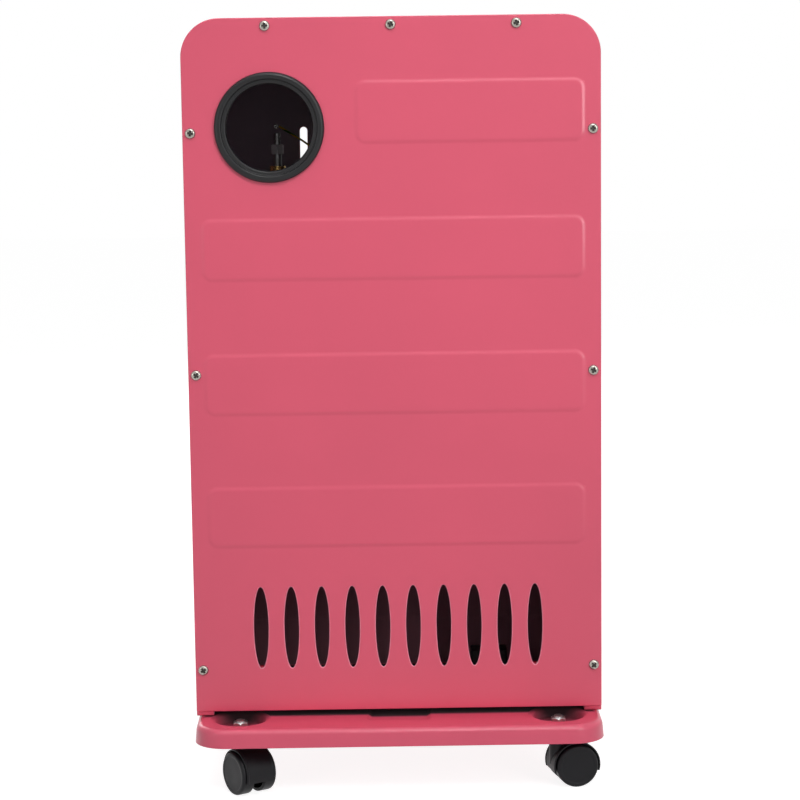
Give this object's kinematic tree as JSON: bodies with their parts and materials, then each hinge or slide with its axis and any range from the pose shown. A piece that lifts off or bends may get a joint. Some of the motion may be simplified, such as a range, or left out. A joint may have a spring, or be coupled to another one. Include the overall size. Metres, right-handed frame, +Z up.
{
  "type": "gas space heater",
  "caption": "Slim mobile gas heater in rose-pink sheet metal, with a pressed back panel, hose grommet, plaque burner behind a wire guard and twin-wheel castors.",
  "frame": {"origin": "On the floor under the middle of the base", "axes": "+X to the right seen from the front, +Y to the back, +Z up"},
  "size_m": [0.38, 0.288, 0.714],
  "materials": {
    "rose_enamel": "satin",
    "black_rubber": "satin",
    "castor_plastic": "satin",
    "zinc_steel": "satin",
    "bright_steel": "polished",
    "galvanised": "matte",
    "ceramic": "matte",
    "brass": "satin",
    "aluminium": "matte",
    "control_plastic": "gloss",
    "earth_sleeve": "satin",
    "lead_sleeve": "matte",
    "switch_plastic": "matte"
  },
  "bodies": {
    "cabinet": {"back_panel": "rose_enamel", "back_panel_screws": "bright_steel", "base_tray": "rose_enamel", "burner_reflector": "bright_steel", "burner_trays": "galvanised", "casing_screws": "zinc_steel", "casing_spacers": "zinc_steel", "casing_wrapper": "rose_enamel", "castor_nuts": "zinc_steel", "castor_stems": "zinc_steel", "ceramic_plaques": "ceramic", "dial_bezel": "control_plastic", "earth_screw": "zinc_steel", "earth_wire": "earth_sleeve", "feed_pipe": "aluminium", "front_panel": "rose_enamel", "front_panel_screws": "bright_steel", "gas_manifold": "aluminium", "guard_clips": "zinc_steel", "guard_frame": "bright_steel", "guard_wires": "bright_steel", "heat_shield": "galvanised", "hose_grommet": "black_rubber", "hose_tail": "brass", "igniter_body": "control_plastic", "ignition_lead": "lead_sleeve", "injectors": "brass", "inlet_elbow": "brass", "inlet_nut": "zinc_steel", "manifold_brackets": "galvanised", "mixing_tubes": "aluminium", "pilot_bracket": "galvanised", "pilot_burner": "brass", "pilot_pipe": "brass", "spark_electrode": "ceramic", "thermocouple": "brass", "thermocouple_lead": "brass", "tilt_switch": "switch_plastic", "valve_body": "aluminium", "valve_bracket": "galvanised"},
    "rear_right_castor": {"rear_right_hood": "castor_plastic", "rear_right_axle": "zinc_steel"},
    "rear_right_roller_a": {"rear_right_wheel_a": "castor_plastic"},
    "rear_right_roller_b": {"rear_right_wheel_b": "castor_plastic"},
    "rear_left_castor": {"rear_left_hood": "castor_plastic", "rear_left_axle": "zinc_steel"},
    "rear_left_roller_a": {"rear_left_wheel_a": "castor_plastic"},
    "rear_left_roller_b": {"rear_left_wheel_b": "castor_plastic"},
    "front_right_castor": {"front_right_hood": "castor_plastic", "front_right_axle": "zinc_steel"},
    "front_right_roller_a": {"front_right_wheel_a": "castor_plastic"},
    "front_right_roller_b": {"front_right_wheel_b": "castor_plastic"},
    "front_left_castor": {"front_left_hood": "castor_plastic", "front_left_axle": "zinc_steel"},
    "front_left_roller_a": {"front_left_wheel_a": "castor_plastic"},
    "front_left_roller_b": {"front_left_wheel_b": "castor_plastic"},
    "push_collar": {"spindle_collar": "zinc_steel"},
    "knob": {"control_knob": "control_plastic", "valve_spindle": "zinc_steel"},
    "igniter_plunger": {"igniter_button": "control_plastic"}
  },
  "joints": [
    {"name": "rear_right_swivel", "type": "hinge", "parent": "cabinet", "child": "rear_right_castor", "pos_m": [0.1485, 0.1025, 0.035], "axis": [0, 0, 1], "continuous": true},
    {"name": "rear_right_roll_a", "type": "hinge", "parent": "rear_right_castor", "child": "rear_right_roller_a", "pos_m": [0.14077, 0.11417, 0.02], "axis": [0.8339, 0.5519, 0], "continuous": true},
    {"name": "rear_right_roll_b", "type": "hinge", "parent": "rear_right_castor", "child": "rear_right_roller_b", "pos_m": [0.14077, 0.11417, 0.02], "axis": [0.8339, 0.5519, 0], "continuous": true},
    {"name": "rear_left_swivel", "type": "hinge", "parent": "cabinet", "child": "rear_left_castor", "pos_m": [-0.1485, 0.1025, 0.035], "axis": [0, 0, 1], "continuous": true},
    {"name": "rear_left_roll_a", "type": "hinge", "parent": "rear_left_castor", "child": "rear_left_roller_a", "pos_m": [-0.16214, 0.09935, 0.02], "axis": [-0.225, 0.9744, 0], "continuous": true},
    {"name": "rear_left_roll_b", "type": "hinge", "parent": "rear_left_castor", "child": "rear_left_roller_b", "pos_m": [-0.16214, 0.09935, 0.02], "axis": [-0.225, 0.9744, 0], "continuous": true},
    {"name": "front_right_swivel", "type": "hinge", "parent": "cabinet", "child": "front_right_castor", "pos_m": [0.1485, -0.1025, 0.035], "axis": [0, 0, 1], "continuous": true},
    {"name": "front_right_roll_a", "type": "hinge", "parent": "front_right_castor", "child": "front_right_roller_a", "pos_m": [0.15442, -0.11519, 0.02], "axis": [-0.9063, -0.4226, 0], "continuous": true},
    {"name": "front_right_roll_b", "type": "hinge", "parent": "front_right_castor", "child": "front_right_roller_b", "pos_m": [0.15442, -0.11519, 0.02], "axis": [-0.9063, -0.4226, 0], "continuous": true},
    {"name": "front_left_swivel", "type": "hinge", "parent": "cabinet", "child": "front_left_castor", "pos_m": [-0.1485, -0.1025, 0.035], "axis": [0, 0, 1], "continuous": true},
    {"name": "front_left_roll_a", "type": "hinge", "parent": "front_left_castor", "child": "front_left_roller_a", "pos_m": [-0.1555, -0.11462, 0.02], "axis": [-0.866, 0.5, 0], "continuous": true},
    {"name": "front_left_roll_b", "type": "hinge", "parent": "front_left_castor", "child": "front_left_roller_b", "pos_m": [-0.1555, -0.11462, 0.02], "axis": [-0.866, 0.5, 0], "continuous": true},
    {"name": "knob_push", "type": "slide", "parent": "cabinet", "child": "push_collar", "axis": [0, 1, 0], "range_m": [0, 0.0045], "stiffness_N_per_m": 800},
    {"name": "knob_turn", "type": "hinge", "parent": "push_collar", "child": "knob", "pos_m": [0.108, -0.1, 0.535], "axis": [0, -1, 0], "range_deg": [0, 210]},
    {"name": "igniter_press", "type": "slide", "parent": "cabinet", "child": "igniter_plunger", "axis": [0, 1, 0], "range_m": [0, 0.0065], "stiffness_N_per_m": 900}
  ]
}
